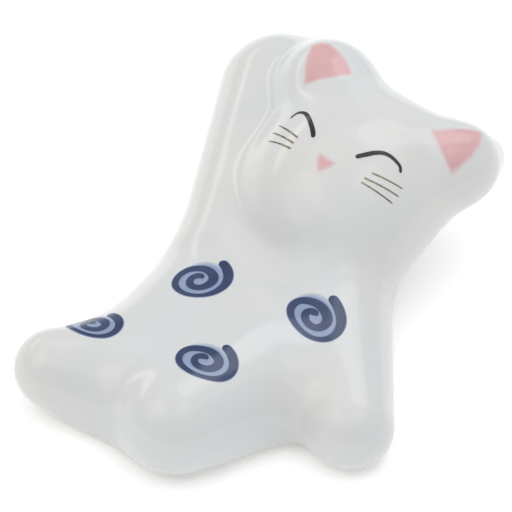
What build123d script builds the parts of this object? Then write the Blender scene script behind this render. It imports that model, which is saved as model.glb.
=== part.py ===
"""Chopstick rest: a porcelain cat stretched out on its back, one arm thrown up beside its head.

Chopsticks lie across the belly, in the dip between the chin and the feet. The clay casting, the clear
glaze over it and every enamel mark on the glaze are separate pieces. The base is flat, and the glaze
stops a little above it, so that the cat stands on bare clay.

Millimetres. +X runs from the feet to the crown of the head, +Y to the cat's own right, +Z up from the table.
"""

import math
import os

from build123d import *

# Layers: clear glaze over the clay, enamel over the glaze, and the bare clay band around the base
GLAZE = 0.3
ENAMEL = 0.2
BARE_FOOT = 0.8

# Torso
CHEST = Vector(0.7, 3.0, -1.8)
CHEST_RADIUS = 12.0
HIPS = CHEST + Vector(-17.7, 1.2, 1.9)
HIP_RADIUS = 9.0

# Head: an egg whose crown is tipped up, so that the face leans towards the feet. It grows from its neck end
HEAD_LENGTH = 26.0
HEAD_WIDTH = 23.2
HEAD_DEPTH = 18.6
HEAD_TILT = 13.0
NECK = CHEST + Vector(-0.8, -3.2, 2.8)
HEAD = NECK + Vector(HEAD_LENGTH / 2, 0, HEAD_DEPTH / 2)

# Ears, counted in from the crown and the two sides of the head, and up from its middle
HEAD_RIGHT = HEAD + Vector(HEAD_LENGTH / 2, HEAD_WIDTH / 2)
HEAD_LEFT = HEAD + Vector(HEAD_LENGTH / 2, -HEAD_WIDTH / 2)
RIGHT_EAR_ROOT = HEAD_RIGHT + Vector(-3.9, -1.9, 3.5)
RIGHT_EAR_ROOT_RADIUS = 5.7
RIGHT_EAR_TIP = RIGHT_EAR_ROOT + Vector(4.7, 3.5, -1.4)
RIGHT_EAR_TIP_RADIUS = 2.8
LEFT_EAR_ROOT = HEAD_LEFT + Vector(-3.6, 2.5, 2.3)
LEFT_EAR_ROOT_RADIUS = 4.4
LEFT_EAR_TIP = LEFT_EAR_ROOT + Vector(3.0, -0.3, -1.3)
LEFT_EAR_TIP_RADIUS = 3.0

# Arms: the right one lies up beside the head, the left one reaches out to the side
RIGHT_SHOULDER = CHEST + Vector(0.4, 4.7, 5.9)
RIGHT_SHOULDER_RADIUS = 5.9
RIGHT_PAW = RIGHT_SHOULDER + Vector(21.9, 9.1, 3.7)
RIGHT_PAW_RADIUS = 7.3
LEFT_SHOULDER = CHEST + Vector(1.9, -9.2, 6.4)
LEFT_SHOULDER_RADIUS = 6.5
LEFT_PAW = LEFT_SHOULDER + Vector(-14.0, -12.8, -0.9)
LEFT_PAW_RADIUS = 4.8

# Legs
RIGHT_THIGH = HIPS + Vector(-2.1, -0.4, 0.9)
RIGHT_THIGH_RADIUS = 6.9
RIGHT_FOOT = RIGHT_THIGH + Vector(-6.4, 7.6, 4.0)
RIGHT_FOOT_RADIUS = 4.4
LEFT_THIGH = HIPS + Vector(6.4, -10.2, 2.0)
LEFT_THIGH_RADIUS = 8.6
LEFT_FOOT = LEFT_THIGH + Vector(-13.0, 1.7, 2.9)
LEFT_FOOT_RADIUS = 5.7

# How softly each limb runs into what carries it
EAR_FILLET = 4.5
LEG_FILLET = 10.0
LEFT_ARM_FILLET = 7.0
NECK_FILLET = 2.5

# Every rounded limb: a ball at the root, a ball at the tip and a straight taper that touches both
TORSO = (CHEST, CHEST_RADIUS, HIPS, HIP_RADIUS)
RIGHT_EAR = (RIGHT_EAR_ROOT, RIGHT_EAR_ROOT_RADIUS, RIGHT_EAR_TIP, RIGHT_EAR_TIP_RADIUS)
LEFT_EAR = (LEFT_EAR_ROOT, LEFT_EAR_ROOT_RADIUS, LEFT_EAR_TIP, LEFT_EAR_TIP_RADIUS)
RIGHT_LEG = (RIGHT_THIGH, RIGHT_THIGH_RADIUS, RIGHT_FOOT, RIGHT_FOOT_RADIUS)
LEFT_LEG = (LEFT_THIGH, LEFT_THIGH_RADIUS, LEFT_FOOT, LEFT_FOOT_RADIUS)
RIGHT_ARM = (RIGHT_SHOULDER, RIGHT_SHOULDER_RADIUS, RIGHT_PAW, RIGHT_PAW_RADIUS)
LEFT_ARM = (LEFT_SHOULDER, LEFT_SHOULDER_RADIUS, LEFT_PAW, LEFT_PAW_RADIUS)

# Face, in the plane of the head: X towards the crown, Y out from the middle of the face
EYE_ROUTE = (Vector(-0.85, 2.75), Vector(0.4, 3.8), Vector(1.95, 5.9), Vector(1.05, 7.5))
EYE_LINE = 0.5
NOSE_TOP = Vector(-2.5, 1.2)
NOSE_TIP = Vector(-4.1, 0)
NOSE_CORNER = 0.25
WHISKER_ROOTS = (Vector(-1.4, 4.7), Vector(-2.3, 4.7), Vector(-3.0, 4.7))
WHISKER_REACHES = (Vector(1.25, 3.9), Vector(1.1, 3.9), Vector(0.7, 3.9))
WHISKER_LINE = 0.2

# Ear patches, in the same plane: two corners counted from the ear's root, and a round point from its tip
RIGHT_PATCH_INNER = Vector(0.2, -4.6)
RIGHT_PATCH_OUTER = Vector(-4.4, -0.4)
RIGHT_PATCH_POINT = Vector(-0.9, -0.3)
LEFT_PATCH_INNER = Vector(-1.3, 3.2)
LEFT_PATCH_OUTER = Vector(-4.3, -1.9)
LEFT_PATCH_POINT = Vector(0.7, -2.0)
PATCH_CORNER = 0.4
PATCH_POINT_ROUND = 1.6

# Swirls: a spiral brush line over a round wash, each placed on the plan from the limb that carries it
SWIRL_PLACES = {
    "belly": CHEST + Vector(-9.3, 1.4),
    "arm": LEFT_SHOULDER + Vector(-8.4, -3.2),
    "leg": LEFT_FOOT + Vector(4.6, -0.2),
    "hip": RIGHT_THIGH + Vector(-1.4, 6.0),
}
SWIRL_HEADING = -53.0
SWIRL_LINE = 0.8
SWIRL_GAP = 0.65
SWIRL_CORE = 0.3
SWIRL_HALF_TURNS = 4
SWIRL_TAIL_ANGLE = 45.0
WASH_SPREAD = 0.1

# The plane of the head, with its X axis towards the crown and its Z axis out of the face
TILT = math.radians(HEAD_TILT)
FACE = Plane(HEAD, x_dir=(math.cos(TILT), 0, math.sin(TILT)), z_dir=(-math.sin(TILT), 0, math.cos(TILT)))

# The spiral is made of half circles on two centres, and each is larger than the one inside it by this step
SWIRL_STEP = (SWIRL_LINE + SWIRL_GAP) / 2
SWIRL_INNER_RADIUS = SWIRL_CORE + SWIRL_LINE / 2
WASH_RADIUS = SWIRL_INNER_RADIUS + (SWIRL_HALF_TURNS - 1) * SWIRL_STEP + WASH_SPREAD


def head(inset):
    """The egg of the head, shrunk evenly by inset, with its poles at the sides and away from the face."""
    with BuildPart() as egg:
        Sphere(radius=1, rotation=(90, 0, 0))
        scale(by=(HEAD_LENGTH / 2 - inset, HEAD_WIDTH / 2 - inset, HEAD_DEPTH / 2 - inset))
    return egg.part.moved(FACE.location)


def limb(root, root_radius, tip, tip_radius, inset):
    """One limb, shrunk evenly by inset. Its profile is drawn on the underside and turned about its length."""
    reach = tip - root
    under = reach.cross(reach.cross(Vector(0, 0, 1)))
    root_ball = root_radius - inset
    tip_ball = tip_radius - inset
    taper = math.degrees(math.asin((root_ball - tip_ball) / reach.length))
    with BuildPart() as body:
        with BuildSketch(Plane(root, x_dir=under, z_dir=under.cross(reach))):
            with BuildLine():
                root_arc = CenterArc((0, 0), root_ball, -90, 90 + taper)
                tip_arc = CenterArc((0, reach.length), tip_ball, taper, 90 - taper)
                Line(root_arc @ 1, tip_arc @ 0)
                Line(tip_arc @ 1, root_arc @ 0)
            make_face()
        revolve(axis=Axis(root, reach))
    return body.part


def joined(base, branch, radius):
    """Two forms made one, with a fillet along the crease where they meet."""
    with BuildPart() as form:
        add(base)
        add(branch)
        fillet(form.edges(Select.NEW), radius)
    return form.part


def cat(inset):
    """The whole figure, not yet cut flat below, shrunk evenly by inset."""
    crown = joined(head(inset), limb(*RIGHT_EAR, inset), EAR_FILLET)
    crown = joined(crown, limb(*LEFT_EAR, inset), EAR_FILLET)
    body = joined(limb(*TORSO, inset), limb(*RIGHT_LEG, inset), LEG_FILLET)
    body = joined(body, limb(*LEFT_LEG, inset), LEG_FILLET)
    body = joined(body, limb(*LEFT_ARM, inset), LEFT_ARM_FILLET)
    body = joined(body, crown, NECK_FILLET)
    with BuildPart() as figure:
        add(body)
        add(limb(*RIGHT_ARM, inset))
    return figure.part


def on_side(point, side):
    """A point of the face put on the cat's right side (1) or left side (-1)."""
    return Vector(point.X, side * point.Y)


def face_line(route, width):
    """A brush line of even width with round ends, as a post that stands up through the face."""
    with BuildPart() as post:
        with BuildSketch(FACE):
            SlotArc(route, width)
        extrude(amount=HEAD_DEPTH)
    return post.part


def eye(side):
    """The arched line of a closed, smiling eye."""
    inner, rise, crest, outer = [on_side(point, side) for point in EYE_ROUTE]
    with BuildLine() as route:
        arch = ThreePointArc(inner, rise, crest)
        TangentArc(crest, outer, tangent=arch % 1)
    return face_line(route.wire(), EYE_LINE)


def whiskers(side):
    """Three straight whiskers that fan out from the cheek."""
    with BuildPart() as posts:
        for root, reach in zip(WHISKER_ROOTS, WHISKER_REACHES):
            route = Edge.make_line(on_side(root, side), on_side(root + reach, side))
            add(face_line(route, WHISKER_LINE))
    return posts.part


def nose():
    """A small triangle with its point towards the mouth."""
    with BuildPart() as post:
        with BuildSketch(FACE) as outline:
            Polygon(NOSE_TOP, NOSE_TIP, on_side(NOSE_TOP, -1), align=None)
            fillet(outline.vertices(), radius=NOSE_CORNER)
        extrude(amount=HEAD_DEPTH)
    return post.part


def ear_patch(ear_root, inner, outer, ear_tip, point):
    """The inside of an ear: a triangle with two neat corners by the head and a round point by the ear's tip."""
    root = FACE.to_local_coords(ear_root)
    tip = FACE.to_local_coords(ear_tip)
    corners = [(corner.X, corner.Y) for corner in (root + inner, root + outer, tip + point)]
    with BuildPart() as post:
        with BuildSketch(FACE) as outline:
            Polygon(*corners, align=None)
            fillet(outline.vertices().sort_by_distance((0, 0))[-1], radius=PATCH_POINT_ROUND)
            fillet(outline.vertices().sort_by_distance((0, 0))[:2], radius=PATCH_CORNER)
        extrude(amount=HEAD_DEPTH)
    return post.part


def swirl_seat(place):
    """The plane that touches the glaze above a place in the plan and faces out from it."""
    plumb = Axis((place.X, place.Y, 0), (0, 0, 1))
    point, normal = max(glazed_cat.shell().find_intersection_points(plumb), key=lambda hit: hit[0].Z)
    heading = math.radians(SWIRL_HEADING)
    return Plane(point, x_dir=(math.cos(heading), math.sin(heading), 0), z_dir=normal)


def swirl_route():
    """The middle of the spiral, from its core outwards in half circles, with a short tail at the end."""
    with BuildLine() as route:
        for turn in range(SWIRL_HALF_TURNS):
            radius = SWIRL_INNER_RADIUS + turn * SWIRL_STEP
            upper = turn % 2 == 0
            CenterArc((-SWIRL_STEP / 2 if upper else SWIRL_STEP / 2, 0), radius, 0 if upper else 180, 180)
        CenterArc((-SWIRL_STEP / 2, 0), radius + SWIRL_STEP, 0, SWIRL_TAIL_ANGLE)
    return route.wire()


def swirl_line(seat):
    """The spiral brush line, as a post that stands through the glaze."""
    with BuildPart() as post:
        with BuildSketch(seat):
            SlotArc(swirl_route(), SWIRL_LINE)
        extrude(amount=WASH_RADIUS, both=True)
    return post.part


def swirl_wash(seat):
    """The round wash that shows between the turns of the brush line."""
    with BuildPart() as post:
        with BuildSketch(seat):
            Circle(WASH_RADIUS)
        extrude(amount=WASH_RADIUS, both=True)
        add(swirl_line(seat), mode=Mode.SUBTRACT)
    return post.part


os.makedirs("parts", exist_ok=True)

clay_cat = cat(GLAZE)
glazed_cat = cat(0)

# The clay casting
with BuildPart() as porcelain_body:
    add(clay_cat)
    split(bisect_by=Plane.XY, keep=Keep.TOP)
porcelain_body.part.label = "porcelain_body"
export_step(porcelain_body.part, "parts/porcelain_body.step")

# The clear glaze, down to the bare band
with BuildPart() as glaze_coat:
    add(glazed_cat)
    split(bisect_by=Plane.XY.offset(BARE_FOOT), keep=Keep.TOP)
    add(clay_cat, mode=Mode.SUBTRACT)
glaze_coat.part.label = "glaze_coat"
export_step(glaze_coat.part, "parts/glaze_coat.step")

# The plane on which each mark is drawn, and its outline as a post that stands through the glaze
marks = {
    "ear_patch_right": (FACE, ear_patch(RIGHT_EAR_ROOT, RIGHT_PATCH_INNER, RIGHT_PATCH_OUTER,
                                        RIGHT_EAR_TIP, RIGHT_PATCH_POINT)),
    "ear_patch_left": (FACE, ear_patch(LEFT_EAR_ROOT, LEFT_PATCH_INNER, LEFT_PATCH_OUTER,
                                       LEFT_EAR_TIP, LEFT_PATCH_POINT)),
    "nose_patch": (FACE, nose()),
    "eye_line_right": (FACE, eye(1)),
    "eye_line_left": (FACE, eye(-1)),
    "whiskers_right": (FACE, whiskers(1)),
    "whiskers_left": (FACE, whiskers(-1)),
}
for name, place in SWIRL_PLACES.items():
    seat = swirl_seat(place)
    marks[f"swirl_line_{name}"] = (seat, swirl_line(seat))
    marks[f"swirl_wash_{name}"] = (seat, swirl_wash(seat))

# Each mark is the layer of enamel between the glaze and the same skin raised off the mark's plane
for name, (plane, post) in marks.items():
    raised_cat = glazed_cat.moved(Location(plane.z_dir * ENAMEL))
    with BuildPart() as mark:
        add(post)
        add(raised_cat, mode=Mode.INTERSECT)
        add(glazed_cat, mode=Mode.SUBTRACT)
    mark.part.label = name
    export_step(mark.part, f"parts/{name}.step")
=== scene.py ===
"""Dressing of the porcelain cat that rests chopsticks: its soft form, its glaze and its painted marks."""

import math

import bmesh
import bpy
import numpy as np
from mathutils import Matrix, Vector


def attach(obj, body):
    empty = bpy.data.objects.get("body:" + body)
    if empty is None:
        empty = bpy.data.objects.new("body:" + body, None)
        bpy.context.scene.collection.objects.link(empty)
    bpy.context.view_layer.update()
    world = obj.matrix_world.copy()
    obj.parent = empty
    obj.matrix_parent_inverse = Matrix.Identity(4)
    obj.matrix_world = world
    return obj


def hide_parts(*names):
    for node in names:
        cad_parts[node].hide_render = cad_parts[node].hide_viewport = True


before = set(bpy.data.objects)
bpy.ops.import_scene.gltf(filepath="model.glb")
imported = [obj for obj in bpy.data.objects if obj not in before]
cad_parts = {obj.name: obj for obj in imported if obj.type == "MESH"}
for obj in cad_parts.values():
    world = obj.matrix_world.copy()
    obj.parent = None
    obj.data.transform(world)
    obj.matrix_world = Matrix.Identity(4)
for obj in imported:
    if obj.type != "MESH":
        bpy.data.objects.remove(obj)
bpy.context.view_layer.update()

# Sizes are in millimetres until a mesh is made
MM = 0.001

# Layers of the ware: clay a hair below the glaze, and enamel that stands on the glaze and is rooted in it
GLAZE = 0.28
CLAY_GAP = 0.02
BARE_FOOT = 0.8
WASH_LIFT = 0.012
LINE_LIFT = 0.024
LINE_CROWN = 0.02
ENAMEL_ROOT = 0.08

# Limbs: root, its radius, tip, its radius
TORSO = ((0.7, 3.0, -1.8), 12.0, (-17.0, 4.2, 0.1), 9.0)
RIGHT_EAR = ((22.0, 9.5, 13.8), 5.7, (26.7, 13.0, 12.4), 2.8)
LEFT_EAR = ((22.3, -9.3, 12.6), 4.4, (25.3, -9.6, 11.3), 3.0)
RIGHT_ARM = ((1.1, 7.7, 4.1), 5.9, (23.0, 16.8, 7.8), 7.3)
LEFT_ARM = ((2.6, -6.2, 4.6), 6.5, (-11.4, -19.0, 3.7), 4.8)
RIGHT_LEG = ((-19.1, 3.8, 1.0), 6.9, (-25.5, 11.4, 5.0), 4.4)
LEFT_LEG = ((-10.6, -6.0, 2.1), 8.6, (-23.6, -4.3, 5.0), 5.7)

# Head: an egg whose crown is tipped up
HEAD = np.array((12.9, -0.2, 10.3))
HEAD_RADII = np.array((13.0, 11.6, 9.3))
HEAD_TILT = math.radians(13.0)

# Axes of the face: to the crown, to the cat's right, out of the face
CROWN = np.array((math.cos(HEAD_TILT), 0.0, math.sin(HEAD_TILT)))
RIGHT = np.array((0.0, 1.0, 0.0))
OUT = np.array((-math.sin(HEAD_TILT), 0.0, math.cos(HEAD_TILT)))

# How widely each limb melts into what carries it, and the rounding of the base
EAR_BLEND = 8.0
NECK_BLEND = 3.6
LEG_BLEND = 8.0
LEFT_ARM_BLEND = 7.5
RIGHT_ARM_BLEND = 4.3
BASE_ROUND = 2.0

# Skin of the figure: its fineness, the box that holds it, how often it settles, and the probe of its slope
SKIN_STEP = 0.4
SKIN_LOW = (-32.0, -26.0, -1.0)
SKIN_HIGH = (33.0, 27.0, 22.0)
SKIN_SETTLES = 3
SLOPE_PROBE = 0.02

# Letting marks down on the glaze: from how high, in how many steps, and the share of the way in each step
PLAN_HEIGHT = 20.0
SEAT_HEIGHT = 14.0
DROP_STEPS = 80
DROP_SHARE = 0.8

# Brush work: points across a stroke, how far its ends close and its edges sink, and fineness of a patch
STROKE_COLUMNS = 9
STROKE_CLOSING = 0.985
STROKE_SINKING = 0.999
BLOT_RINGS = 14
SIDE_STEPS = 28
SIDE_SOFTENINGS = 20


# The form of the cat

def limb(p, root, root_radius, tip, tip_radius):
    """Distance from points to a limb with a ball at each end and a straight taper between them."""
    root = np.array(root)
    reach = np.array(tip) - root
    length = np.linalg.norm(reach)
    along = (p - root) @ (reach / length)
    aside = np.sqrt(np.maximum(((p - root) ** 2).sum(-1) - along ** 2, 0))
    lean = (root_radius - tip_radius) / length
    slope = math.sqrt(1 - lean * lean)
    foot = np.clip(along - aside * lean / slope, 0, length)
    return np.hypot(along - foot, aside) - (root_radius - lean * foot)


def egg(p):
    """Distance from points to the head."""
    local = (p - HEAD) @ np.stack((CROWN, RIGHT, OUT), -1)
    near = np.linalg.norm(local / HEAD_RADII, axis=-1)
    steep = np.linalg.norm(local / HEAD_RADII ** 2, axis=-1)
    return near * (near - 1) / np.maximum(steep, 1e-9)


def melt(a, b, blend):
    """Union of two distances with a soft fillet."""
    overlap = np.maximum(blend - np.abs(a - b), 0) / blend
    return np.minimum(a, b) - overlap ** 3 * blend / 6


def cat(p, inset=0.0):
    """Distance from points to the whole figure, with a flat base, shrunk evenly by inset."""
    head = melt(melt(egg(p), limb(p, *RIGHT_EAR), EAR_BLEND), limb(p, *LEFT_EAR), EAR_BLEND)
    body = melt(limb(p, *TORSO), head, NECK_BLEND)
    body = melt(body, limb(p, *RIGHT_LEG), LEG_BLEND)
    body = melt(body, limb(p, *LEFT_LEG), LEG_BLEND)
    body = melt(body, limb(p, *LEFT_ARM), LEFT_ARM_BLEND)
    body = melt(body, limb(p, *RIGHT_ARM), RIGHT_ARM_BLEND)
    return -melt(-(body + inset), p[..., 2], BASE_ROUND)


def outward(p, inset=0.0):
    """Unit normals of the figure at points near its skin."""
    nudge = SLOPE_PROBE * np.eye(3)
    slope = np.stack([cat(p + n, inset) - cat(p - n, inset) for n in nudge], -1)
    return slope / np.linalg.norm(slope, axis=-1, keepdims=True)


def skin(inset):
    """Points and quads of a closed skin over the figure, one point in each grid cell that it crosses."""
    axes = [np.arange(low, high, SKIN_STEP) for low, high in zip(SKIN_LOW, SKIN_HIGH)]
    grid = np.stack(np.meshgrid(*axes, indexing="ij"), -1)
    level = cat(grid, inset)
    cells = [n - 1 for n in level.shape]
    total = np.zeros((*cells, 3))
    count = np.zeros(cells)
    edges = []
    for axis in range(3):
        first = tuple(slice(None, -1) if i == axis else slice(None) for i in range(3))
        last = tuple(slice(1, None) if i == axis else slice(None) for i in range(3))
        a, b = level[first], level[last]
        crossed = (a < 0) != (b < 0)
        share = np.where(crossed, a / np.where(crossed, a - b, 1), 0)
        point = grid[first] + share[..., None] * (grid[last] - grid[first])
        u, v = [i for i in range(3) if i != axis]
        for du in (0, 1):
            for dv in (0, 1):
                pick = [slice(None)] * 3
                pick[u] = slice(du, du + cells[u])
                pick[v] = slice(dv, dv + cells[v])
                pick = tuple(pick)
                total += point[pick] * crossed[pick][..., None]
                count += crossed[pick]
        edges.append((axis, u, v, crossed, a < 0))
    number = np.full(cells, -1)
    number[count > 0] = np.arange((count > 0).sum())
    points = total[count > 0] / count[count > 0][:, None]
    quads = []
    for axis, u, v, crossed, starts_inside in edges:
        place = np.argwhere(crossed)
        step_u, step_v = np.eye(3, dtype=int)[u], np.eye(3, dtype=int)[v]
        ring = [place - step_u - step_v, place - step_v, place, place - step_u]
        quad = np.stack([number[tuple(corner.T)] for corner in ring], -1)
        flip = starts_inside[crossed] == (axis == 1)
        quads.append(np.where(flip[:, None], quad[:, ::-1], quad))
    for _ in range(SKIN_SETTLES):
        points = points - cat(points, inset)[:, None] * outward(points, inset)
    return points, np.concatenate(quads)


# Pieces

def piece(name, points, faces, normals, finish, node, inset=None):
    """A mesh that rides on the ware in place of a CAD node. Normals go by face corner, insets by point."""
    mesh = bpy.data.meshes.new(name)
    mesh.from_pydata((np.asarray(points) * MM).tolist(), [], [list(map(int, face)) for face in faces])
    mesh.update()
    if inset is not None:
        attribute = mesh.attributes.new("inset", "FLOAT", "POINT")
        attribute.data.foreach_set("value", np.asarray(inset, np.float32))
    mesh.shade_smooth()
    mesh.normals_split_custom_set(np.asarray(normals).tolist())
    mesh.materials.append(finish)
    made = bpy.data.objects.new(name, mesh)
    bpy.context.scene.collection.objects.link(made)
    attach(made, "root")
    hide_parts(node)


def clay_cat(finish):
    """The casting, as it is under the glaze."""
    inset = GLAZE + CLAY_GAP
    points, quads = skin(inset)
    normals = outward(points, inset)[quads].reshape(-1, 3)
    piece("cat_clay", points, quads, normals, finish, "porcelain_body")


def glaze_cat(finish):
    """The glaze, as a thin closed coat that ends above the foot."""
    points, quads = skin(0.0)
    whole = bmesh.new()
    corners = [whole.verts.new(point) for point in points]
    for quad in quads:
        whole.faces.new([corners[i] for i in quad])
    parts = whole.verts[:] + whole.edges[:] + whole.faces[:]
    bmesh.ops.bisect_plane(whole, geom=parts, plane_co=(0, 0, BARE_FOOT), plane_no=(0, 0, 1),
                           clear_inner=True)
    whole.verts.index_update()
    outer = np.array([vert.co for vert in whole.verts])
    sides = [[vert.index for vert in face.verts] for face in whole.faces]
    rim = [(loop.vert.index, loop.link_loop_next.vert.index)
           for edge in whole.edges if edge.is_boundary for loop in edge.link_loops]
    whole.free()
    normal = outward(outer)
    inner = outer - GLAZE * normal
    inner[:, 2] = np.maximum(inner[:, 2], BARE_FOOT)
    size = len(outer)
    faces = sides + [[i + size for i in reversed(side)] for side in sides]
    faces += [[b, a, a + size, b + size] for a, b in rim]
    normals = [normal[i] for side in sides for i in side]
    normals += [-normal[i] for side in sides for i in reversed(side)]
    normals += [(0, 0, -1)] * (4 * len(rim))
    piece("cat_glaze", np.concatenate((outer, inner)), faces, normals, finish, "glaze_coat")


def let_down(p, normal):
    """Places on the glaze that points reach when they are let down against a normal."""
    for _ in range(DROP_STEPS):
        p = p - DROP_SHARE * cat(p)[..., None] * normal
    return p


class Seat:
    """A flat place above the skin on which a mark is drawn and then let down onto the glaze."""

    def __init__(self, origin, x_axis, y_axis, normal):
        self.origin, self.x_axis, self.y_axis, self.normal = origin, x_axis, y_axis, normal

    def layer(self, flat, lift):
        """Enamel over drawn points: its top, its buried underside, and the normals of its top."""
        drawn = self.origin + flat[..., :1] * self.x_axis + flat[..., 1:] * self.y_axis
        ground = let_down(drawn + SEAT_HEIGHT * self.normal, self.normal)
        normal = outward(ground)
        return ground + normal * lift[..., None], ground - normal * ENAMEL_ROOT, normal


FACE = Seat(HEAD, CROWN, RIGHT, OUT)


def swirl_seat(x, y, heading):
    """A seat that faces out of the glaze above a place in the plan, with its own X axis along a heading."""
    p = let_down(np.array((x, y, PLAN_HEIGHT)), np.array((0.0, 0.0, 1.0)))
    normal = outward(p)
    ahead = np.array((math.cos(heading), math.sin(heading), 0.0))
    x_axis = ahead - (ahead @ normal) * normal
    x_axis = x_axis / np.linalg.norm(x_axis)
    return Seat(p, x_axis, np.cross(normal, x_axis), normal)


def grid_faces(rows, columns):
    """Quads over a grid of points."""
    r, c = np.meshgrid(np.arange(rows - 1), np.arange(columns - 1), indexing="ij")
    first = (r * columns + c).ravel()
    return np.stack((first, first + 1, first + columns + 1, first + columns), -1)


def stroke(seat, route, width):
    """A brush stroke along a drawn route: points, faces, corner normals and insets from its edge."""
    across = np.linspace(-1, 1, STROKE_COLUMNS)
    ahead = np.gradient(route, axis=0)
    ahead = ahead / np.linalg.norm(ahead, axis=-1, keepdims=True)
    aside = np.stack((-ahead[:, 1], ahead[:, 0]), -1)
    run = np.concatenate(([0], np.cumsum(np.linalg.norm(np.diff(route, axis=0), axis=-1))))
    to_end = np.minimum(run, run[-1] - run)
    short = np.clip(1 - to_end / (width / 2), 0, STROKE_CLOSING)
    half = width / 2 * np.sqrt(1 - short ** 2)
    flat = route[:, None] + aside[:, None] * (across * half[:, None])[..., None]
    crown = np.sqrt(1 - across ** 2 * STROKE_SINKING)[None] * np.sqrt(1 - short ** 2)[:, None]
    top, under, normal = seat.layer(flat, LINE_LIFT + LINE_CROWN * crown)
    rows, columns = crown.shape
    size = rows * columns
    upper = grid_faces(rows, columns)[:, ::-1]
    lower = upper[:, ::-1] + size
    first_side = np.arange(rows) * columns
    far_end = (rows - 1) * columns + np.arange(1, columns)
    last_side = (np.arange(rows - 1) * columns + columns - 1)[::-1]
    near_end = np.arange(1, columns - 1)[::-1]
    edge = np.concatenate((first_side, far_end, last_side, near_end))
    following = np.roll(edge, -1)
    wall = np.stack((following, edge, edge + size, following + size), -1)
    normal = normal.reshape(-1, 3)
    normals = np.concatenate((normal[upper].reshape(-1, 3), -normal[lower - size].reshape(-1, 3),
                              normal[wall % size].reshape(-1, 3)))
    points = np.concatenate((top.reshape(-1, 3), under.reshape(-1, 3)))
    inset = (half[:, None] * (1 - np.abs(across))).ravel()
    return points, np.concatenate((upper, lower, wall)), normals, np.tile(inset, 2)


def blot(seat, outline, middle):
    """A filled patch inside a drawn outline: points, faces, corner normals and insets from its edge."""
    x, y = outline.T
    if (x * np.roll(y, -1) - y * np.roll(x, -1)).sum() < 0:
        outline = outline[::-1]
    spokes = len(outline)
    share = np.linspace(1, 0, BLOT_RINGS)[:, None, None]
    flat = middle + share * (outline - middle)
    flat = np.concatenate((flat[:-1].reshape(-1, 2), [middle]))
    inset = np.array([np.linalg.norm(outline - place, axis=-1).min() for place in flat])
    inset[:spokes] = 0
    top, under, normal = seat.layer(flat, np.full(len(flat), WASH_LIFT))
    size = len(flat)
    ring = np.arange(spokes)
    after = np.roll(ring, -1)
    upper = []
    for start in range(0, (BLOT_RINGS - 2) * spokes, spokes):
        a, b = start + ring, start + after
        upper += np.stack((a, b, b + spokes, a + spokes), -1).tolist()
    last = (BLOT_RINGS - 2) * spokes
    upper += [[last + a, last + b, size - 1] for a, b in zip(ring, after)]
    lower = [[i + size for i in reversed(face)] for face in upper]
    wall = [[b, a, a + size, b + size] for a, b in zip(ring, after)]
    normals = [normal[i] for face in upper for i in face]
    normals += [-normal[i - size] for face in lower for i in face]
    normals += [normal[i % size] for face in wall for i in face]
    return np.concatenate((top, under)), upper + lower + wall, normals, np.tile(inset, 2)


def joined(strokes):
    """Several strokes as one."""
    points, faces, normals, inset = zip(*strokes)
    starts = np.cumsum([0] + [len(part) for part in points[:-1]])
    faces = np.concatenate([part + start for part, start in zip(faces, starts)])
    return np.concatenate(points), faces, np.concatenate(normals), np.concatenate(inset)


def mark(name, drawn, finish, node):
    """A drawn mark as a piece in place of its CAD node."""
    points, faces, normals, inset = drawn
    piece(name, points, faces, normals, finish, node, inset)


def smooth_route(knots, count):
    """A smooth open route through drawn points."""
    knots = np.array(knots, float)
    padded = np.concatenate(([2 * knots[0] - knots[1]], knots, [2 * knots[-1] - knots[-2]]))
    t = np.linspace(0, len(knots) - 1, count)
    k = np.minimum(t.astype(int), len(knots) - 2)
    f = (t - k)[:, None]
    a, b, c, d = padded[k], padded[k + 1], padded[k + 2], padded[k + 3]
    return b + f * ((c - a) / 2 + f * (a - 2.5 * b + 2 * c - d / 2 + f * (-a + 3 * b - 3 * c + d) / 2))


def soft_outline(corners):
    """A closed outline through corners, with straight sides and rounded corners."""
    corners = np.array(corners, float)
    after = np.roll(corners, -1, axis=0)
    t = np.linspace(0, 1, SIDE_STEPS, endpoint=False)[:, None]
    outline = np.concatenate([a + (b - a) * t for a, b in zip(corners, after)])
    for _ in range(SIDE_SOFTENINGS):
        outline = (np.roll(outline, 1, axis=0) + 2 * outline + np.roll(outline, -1, axis=0)) / 4
    return outline


# Finishes

class Field:
    """A socket's value over the surface, on which Python's operators add Math nodes."""

    def __init__(self, finish, socket):
        self.finish, self.socket = finish, socket

    def __add__(self, other):
        return self.finish.math("ADD", self, other)

    def __mul__(self, other):
        return self.finish.math("MULTIPLY", self, other)

    __radd__ = __add__
    __rmul__ = __mul__


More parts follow.
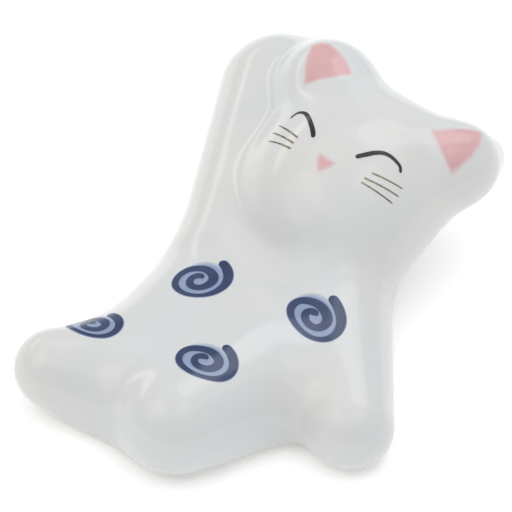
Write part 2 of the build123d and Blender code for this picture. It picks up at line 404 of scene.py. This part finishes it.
class Finish:
    """One material, made of nodes."""

    def __init__(self, name):
        self.material = bpy.data.materials.new(name)
        self.material.use_nodes = True
        self.tree = self.material.node_tree
        self.tree.nodes.clear()

    def node(self, kind, settings, sockets, output=0):
        """A node with its settings, then its socket values or links, and the field of one of its outputs."""
        made = self.tree.nodes.new(kind)
        for name, value in settings.items():
            setattr(made, name, value)
        for name, value in sockets.items():
            if isinstance(value, Field):
                self.tree.links.new(value.socket, made.inputs[name])
            else:
                made.inputs[name].default_value = value
        return Field(self, made.outputs[output]) if made.outputs else None

    def math(self, operation, a, b):
        """A Math node on two values."""
        return self.node("ShaderNodeMath", {"operation": operation}, {0: a, 1: b})

    def noise(self, cells, detail, roughness=0.5):
        """Soft random values from about 0.3 to 0.7, with that many cells a metre."""
        place = self.node("ShaderNodeTexCoord", {}, {}, "Object")
        sockets = {"Vector": place, "Scale": cells, "Detail": detail, "Roughness": roughness}
        return self.node("ShaderNodeTexNoise", {}, sockets, "Fac")

    def inset(self):
        """How far in from the edge of its mark a place lies, in millimetres."""
        return self.node("ShaderNodeAttribute", {"attribute_name": "inset"}, {}, "Fac")

    def rise(self, value, start, end):
        """0 up to start, 1 from end on, and a smooth step between them."""
        sockets = {"Value": value, "From Min": start, "From Max": end}
        return self.node("ShaderNodeMapRange", {"interpolation_type": "SMOOTHSTEP"}, sockets)

    def clouds(self, cells, detail, start, end):
        """Soft patches, from 0 to 1."""
        return self.rise(self.noise(cells, detail), start, end)

    def mix(self, share, a, b):
        """Colour a where share is 0, and colour b where it is 1."""
        def paint(colour):
            return colour if isinstance(colour, Field) else (*colour, 1)
        return self.node("ShaderNodeMix", {"data_type": "RGBA"}, {0: share, 6: paint(a), 7: paint(b)}, 2)

    def bump(self, height, distance, strength):
        """Normals of a fine relief."""
        sockets = {"Height": height, "Distance": distance, "Strength": strength}
        return self.node("ShaderNodeBump", {}, sockets)

    def done(self, **sockets):
        """The surface shader with these sockets, as a material."""
        named = {name.replace("_", " "): value for name, value in sockets.items()}
        shader = self.node("ShaderNodeBsdfPrincipled", {}, named)
        self.node("ShaderNodeOutputMaterial", {}, {"Surface": shader})
        return self.material


# The two shades between which each finish clouds
GLAZE_SHADES = ((0.63, 0.645, 0.655), (0.65, 0.645, 0.635))
CLAY_SHADES = ((0.70, 0.67, 0.62), (0.60, 0.56, 0.50))
PINK_SHADES = ((0.62, 0.36, 0.375), (0.66, 0.40, 0.41))
BLACK_SHADES = ((0.012, 0.012, 0.014), (0.035, 0.035, 0.038))
DARK_BLUE_SHADES = ((0.017, 0.037, 0.108), (0.029, 0.050, 0.125))
PALE_BLUE_SHADES = ((0.23, 0.30, 0.455), (0.26, 0.33, 0.485))
GOLD_SHADES = ((0.15, 0.125, 0.085), (0.30, 0.26, 0.19))
FLOOR_SHADES = ((0.95, 0.95, 0.95), (0.97, 0.97, 0.97))

# Dark blue bleeds to this at its edge, where it meets the pale wash
DARK_BLUE_EDGE = (0.26, 0.31, 0.50)

# Clouds of each finish: cells a metre, detail, and the values at which they begin and are full
GLAZE_CLOUDS = (55.0, 2.0, 0.35, 0.65)
DULL_CLOUDS = (160.0, 3.0, 0.4, 0.7)
CLAY_CLOUDS = (140.0, 3.0, 0.4, 0.65)
PINK_CLOUDS = (300.0, 2.0, 0.35, 0.65)
BLACK_CLOUDS = (2400.0, 4.0, 0.5, 0.75)
DARK_BLUE_CLOUDS = (500.0, 3.0, 0.35, 0.7)
PALE_BLUE_CLOUDS = (600.0, 3.0, 0.35, 0.65)
GOLD_CLOUDS = (1500.0, 3.0, 0.4, 0.7)
FLOOR_CLOUDS = (4.0, 3.0, 0.4, 0.6)

# Over how many millimetres in from its edge each paint reaches its full strength
PINK_FADE = 0.7
BLACK_FADE = 0.07
DARK_BLUE_FADE = 0.12
GOLD_FADE = 0.04

# The pale blue wash: the share of it that is a haze at the rim, and where haze and full wash begin and end
HAZE = 0.55
HAZE_REACH = (0.0, 0.3)
FULL_REACH = (0.4, 0.65)

# Relief, in metres deep
GLAZE_WAVES = 0.00006
CLAY_GRAIN = 0.00008


def white_glaze(finish):
    """The colour of bare glaze: white, with faint warm and cool clouds."""
    return finish.mix(finish.clouds(*GLAZE_CLOUDS), *GLAZE_SHADES)


def glaze_gloss(finish):
    """Gloss of the glaze, a little duller in patches."""
    return 0.13 + 0.05 * finish.clouds(*DULL_CLOUDS)


def glaze_finish():
    """White glaze, with the slow waves of a poured coat."""
    finish = Finish("white_glaze")
    waves = finish.bump(finish.noise(110.0, 1.0), GLAZE_WAVES, 0.6)
    return finish.done(Base_Color=white_glaze(finish), Roughness=glaze_gloss(finish), Normal=waves)


def clay_finish():
    """Bare fired clay, with a dry grain."""
    finish = Finish("bare_clay")
    grain = finish.noise(2600.0, 4.0, 0.7)
    colour = finish.mix(finish.clouds(*CLAY_CLOUDS), *CLAY_SHADES)
    relief = finish.bump(grain, CLAY_GRAIN, 0.7)
    return finish.done(Base_Color=colour, Roughness=0.75 + 0.2 * grain, Normal=relief)


def enamel_finish(name, clouds, shades, fade, edge=None):
    """Clouded paint as glossy as the glaze, which fades to white glaze or to an edge colour at its rim."""
    finish = Finish(name)
    paint = finish.mix(finish.clouds(*clouds), *shades)
    cover = finish.rise(finish.inset(), 0.0, fade)
    colour = finish.mix(cover, edge or white_glaze(finish), paint)
    return finish.done(Base_Color=colour, Roughness=glaze_gloss(finish))


def pale_blue_finish():
    """Thin blue wash, hazy at its rim and fuller further in."""
    finish = Finish("pale_blue_enamel")
    wash = finish.mix(finish.clouds(*PALE_BLUE_CLOUDS), *PALE_BLUE_SHADES)
    inset = finish.inset()
    cover = HAZE * finish.rise(inset, *HAZE_REACH) + (1 - HAZE) * finish.rise(inset, *FULL_REACH)
    colour = finish.mix(cover, white_glaze(finish), wash)
    return finish.done(Base_Color=colour, Roughness=glaze_gloss(finish))


def gold_finish():
    """Dull gold lustre, brighter and rougher where it is worn."""
    finish = Finish("gold_lustre")
    worn = finish.clouds(*GOLD_CLOUDS)
    gold = finish.mix(worn, *GOLD_SHADES)
    cover = finish.rise(finish.inset(), 0.0, GOLD_FADE)
    colour = finish.mix(cover, white_glaze(finish), gold)
    return finish.done(Base_Color=colour, Metallic=0.9 * cover, Roughness=0.2 + 0.15 * worn)


# The ware

glaze_cat(glaze_finish())
clay_cat(clay_finish())

pink = enamel_finish("pink_enamel", PINK_CLOUDS, PINK_SHADES, PINK_FADE)
black = enamel_finish("black_enamel", BLACK_CLOUDS, BLACK_SHADES, BLACK_FADE)
gold = gold_finish()
dark_blue = enamel_finish("dark_blue_enamel", DARK_BLUE_CLOUDS, DARK_BLUE_SHADES, DARK_BLUE_FADE,
                          DARK_BLUE_EDGE)
pale_blue = pale_blue_finish()

# Pink patches, drawn on the face with X to the crown and Y to the cat's right: middle and corners
RIGHT_EAR_MIDDLE = np.array((9.3, 9.2))
RIGHT_EAR_PINK = ((5.2, 9.3), (7.6, 10.9), (9.2, 11.8), (11.0, 12.3), (12.0, 11.5), (12.3, 10.2),
                  (11.8, 8.4), (11.1, 6.7), (9.8, 4.9), (7.7, 6.6))
LEFT_EAR_MIDDLE = np.array((9.1, -9.8))
LEFT_EAR_PINK = ((8.4, -5.9), (10.8, -8.0), (12.9, -10.1), (12.4, -10.9), (11.0, -11.6), (9.0, -11.9),
                 (6.8, -11.5), (5.4, -11.1), (6.1, -9.6))
NOSE_MIDDLE = np.array((-3.1, -0.3))
NOSE_PINK = ((-2.1, 1.2), (-3.3, 0.9), (-4.6, -0.1), (-4.5, -0.8), (-3.5, -1.5), (-2.3, -1.9))
right_ear = blot(FACE, soft_outline(RIGHT_EAR_PINK), RIGHT_EAR_MIDDLE)
left_ear = blot(FACE, soft_outline(LEFT_EAR_PINK), LEFT_EAR_MIDDLE)
nose = blot(FACE, soft_outline(NOSE_PINK), NOSE_MIDDLE)
mark("ear_pink_right", right_ear, pink, "ear_patch_right")
mark("ear_pink_left", left_ear, pink, "ear_patch_left")
mark("nose_pink", nose, pink, "nose_patch")

# Eyes, each drawn from its inner end, and the widths of their lines at shares of the way
EYES = {
    "right": ((-1.0, 2.7), (-0.2, 3.4), (0.7, 4.4), (1.6, 5.6), (1.9, 6.4), (1.7, 7.2), (0.8, 7.6)),
    "left": ((-0.7, -2.9), (0.4, -3.7), (1.2, -4.3), (1.8, -5.0), (2.0, -5.9), (1.8, -7.0), (1.2, -7.5)),
}
EYE_SHARES = (0, 0.15, 0.45, 0.75, 1)
EYE_WIDTHS = (0.58, 0.66, 0.6, 0.5, 0.34)
EYE_STEPS = 60
eye_width = np.interp(np.linspace(0, 1, EYE_STEPS), EYE_SHARES, EYE_WIDTHS)
for side, knots in EYES.items():
    eye = stroke(FACE, smooth_route(knots, EYE_STEPS), eye_width)
    mark(f"eye_{side}", eye, black, f"eye_line_{side}")

# Whiskers, each drawn from the nose outwards, and their widths at root and tip
WHISKERS = {
    "right": (((-1.7, 4.4), (-0.3, 8.5)), ((-2.5, 4.4), (-1.4, 8.6)), ((-3.2, 4.3), (-2.6, 8.3))),
    "left": (((-1.1, -5.3), (0.0, -8.6)), ((-2.1, -5.0), (-1.0, -8.8)), ((-2.7, -5.0), (-2.1, -8.7))),
}
HAIR_WIDTHS = (0.27, 0.18)
HAIR_STEPS = 24
hair_width = np.linspace(*HAIR_WIDTHS, HAIR_STEPS)
for side, hairs in WHISKERS.items():
    drawn = [stroke(FACE, np.linspace(root, tip, HAIR_STEPS), hair_width) for root, tip in hairs]
    mark(f"whisker_{side}", joined(drawn), gold, f"whiskers_{side}")

# One swirl, drawn from its tail inwards: angle, distance from its middle and width of the brush line
SWIRL_TURNS = (
    (50, 3.65, 1.15), (25, 3.4, 1.28), (0, 3.2, 1.22), (-45, 2.82, 0.98), (-90, 2.6, 0.7),
    (-135, 2.64, 0.78), (-180, 2.7, 0.92), (-225, 2.5, 1.12), (-270, 1.95, 1.15), (-315, 1.7, 1.22),
    (-360, 1.6, 1.28), (-405, 1.38, 1.2), (-450, 1.3, 1.06), (-495, 1.22, 1.02), (-540, 1.03, 1.02),
    (-585, 0.86, 1.04), (-630, 0.65, 1.06), (-690, 0.28, 0.98),
)
SWIRL_MIDDLE = np.array((0.12, 0.0))
SWIRL_STEPS = 320
turn, away, swirl_width = smooth_route(SWIRL_TURNS, SWIRL_STEPS).T
swirl_route = away[:, None] * np.stack((np.cos(np.radians(turn)), np.sin(np.radians(turn))), -1)

# The oval wash under it, which fills the bay between the tail and the next turn
WASH_MIDDLE = np.array((0.15, 0.15))
WASH_RADII = np.array((3.05, 3.0))
WASH_STEPS = 120
round_turn = np.linspace(0, 2 * math.pi, WASH_STEPS, endpoint=False)
wash = WASH_MIDDLE + WASH_RADII * np.stack((np.cos(round_turn), np.sin(round_turn)), -1)

# Swirls: place in the plan, the axis on which the brush work is drawn out, and its stretch along and across
SWIRL_HEADING = math.radians(-53.0)
SWIRLS = {
    "belly": (-8.6, 4.4, 0.0, 1.0, 1.0),
    "arm": (-5.8, -9.4, 115.0, 1.22, 0.88),
    "leg": (-18.85, -4.3, 150.0, 1.06, 0.84),
    "hip": (-20.7, 9.9, 143.0, 1.09, 0.72),
}
for name, (x, y, axis, along, across) in SWIRLS.items():
    seat = swirl_seat(x, y, SWIRL_HEADING)
    long_way = np.array((math.cos(math.radians(axis)), math.sin(math.radians(axis))))
    stretch = across * np.eye(2) + (along - across) * np.outer(long_way, long_way)
    pale = blot(seat, SWIRL_MIDDLE + wash @ stretch, SWIRL_MIDDLE)
    dark = stroke(seat, SWIRL_MIDDLE + swirl_route @ stretch, swirl_width * math.sqrt(along * across))
    mark(f"swirl_pale_{name}", pale, pale_blue, f"swirl_wash_{name}")
    mark(f"swirl_dark_{name}", dark, dark_blue, f"swirl_line_{name}")

# Floor, in metres: a white sweep that glows a little, a hair below the base
FLOOR_REACH = 3.0
FLOOR_DROP = 0.00002
FLOOR_GLOW = 0.2
floor_finish = Finish("pale_floor")
floor_colour = floor_finish.mix(floor_finish.clouds(*FLOOR_CLOUDS), *FLOOR_SHADES)
floor_paper = floor_finish.done(Base_Color=floor_colour, Roughness=0.9, Emission_Color=floor_colour,
                                Emission_Strength=FLOOR_GLOW)
floor_corners = [(-FLOOR_REACH, -FLOOR_REACH), (FLOOR_REACH, -FLOOR_REACH), (FLOOR_REACH, FLOOR_REACH),
                 (-FLOOR_REACH, FLOOR_REACH)]
floor_mesh = bpy.data.meshes.new("floor")
floor_mesh.from_pydata([(x, y, -FLOOR_DROP) for x, y in floor_corners], [], [(0, 1, 2, 3)])
floor_mesh.materials.append(floor_paper)
floor = bpy.data.objects.new("floor", floor_mesh)
bpy.context.scene.collection.objects.link(floor)

# Camera at the photograph's angle, aimed so that a known point of the ware falls on its own pixel
AZIMUTH = math.radians(-53.0)
ELEVATION = math.radians(44.7)
ROLL = math.radians(0.75)
DISTANCE = 450.0
SENSOR = 36.0
PICTURE = 512
PIXELS_PER_MM = 8.93
KNOWN_POINT = np.array((-2.0, 1.4, 8.0))
KNOWN_PIXEL = (255.6, 269.9)
FARTHEST_METRES = 20.0
ground = math.cos(ELEVATION)
back = np.array((math.sin(AZIMUTH) * ground, -math.cos(AZIMUTH) * ground, math.sin(ELEVATION)))
level = np.array((math.cos(AZIMUTH), math.sin(AZIMUTH), 0.0))
upright = np.cross(back, level)
image_right = level * math.cos(ROLL) + upright * math.sin(ROLL)
image_up = upright * math.cos(ROLL) - level * math.sin(ROLL)
aside = (PICTURE / 2 - KNOWN_PIXEL[0]) / PIXELS_PER_MM
above = (KNOWN_PIXEL[1] - PICTURE / 2) / PIXELS_PER_MM
aim = KNOWN_POINT + image_right * aside + image_up * above
lens = bpy.data.cameras.new("camera")
lens.sensor_width = SENSOR
lens.lens = SENSOR * DISTANCE * PIXELS_PER_MM / PICTURE
lens.clip_end = FARTHEST_METRES
camera = bpy.data.objects.new("camera", lens)
turned = Matrix(np.stack((image_right, image_up, back), -1).tolist()).to_4x4()
camera.matrix_world = Matrix.Translation(Vector((aim + back * DISTANCE) * MM)) @ turned
bpy.context.scene.collection.objects.link(camera)
bpy.context.scene.camera = camera

# Light of a bright room
ROOM_COLOUR = (0.98, 0.995, 1.0, 1)
ROOM_STRENGTH = 0.67
room = bpy.data.worlds.new("room")
room.use_nodes = True
room_light = room.node_tree.nodes["Background"].inputs
room_light["Color"].default_value = ROOM_COLOUR
room_light["Strength"].default_value = ROOM_STRENGTH
bpy.context.scene.world = room
bpy.context.scene.view_settings.view_transform = "Standard"

# Oval soft boxes that face the ware, in metres: direction, width and height, power and colour
LIGHT_DISTANCE = 0.9
SOFT_BOXES = {
    "ceiling": ((0.0, 0.0, 1.0), (1.5, 1.5), 3.0, (1.0, 1.0, 1.0)),
    "skylight": ((0.59, 0.04, 0.80), (0.54, 0.54), 0.9, (0.98, 0.99, 1.0)),
    "near_lamp": ((0.06, -0.31, 0.95), (0.36, 0.36), 0.22, (1.0, 0.99, 0.95)),
    "back_window": ((0.13, 0.91, 0.4), (0.65, 0.12), 0.33, (1.0, 0.92, 0.8)),
    "low_window": ((-0.2, 0.97, 0.05), (0.55, 0.2), 0.08, (1.0, 0.8, 0.56)),
    "left_lamp": ((-0.55, 0.41, 0.73), (0.64, 0.64), 0.85, (1.0, 0.93, 0.82)),
    "right_lamp": ((0.83, 0.2, 0.4), (0.7, 0.6), 0.35, (1.0, 1.0, 1.0)),
}
for name, (towards, (wide, high), power, colour) in SOFT_BOXES.items():
    light = bpy.data.lights.new(name, "AREA")
    light.shape = "ELLIPSE"
    light.size = wide
    light.size_y = high
    light.energy = power
    light.color = colour
    box = bpy.data.objects.new(name, light)
    box.location = Vector(towards).normalized() * LIGHT_DISTANCE
    box.rotation_euler = box.location.to_track_quat("Z", "Y").to_euler()
    bpy.context.scene.collection.objects.link(box)
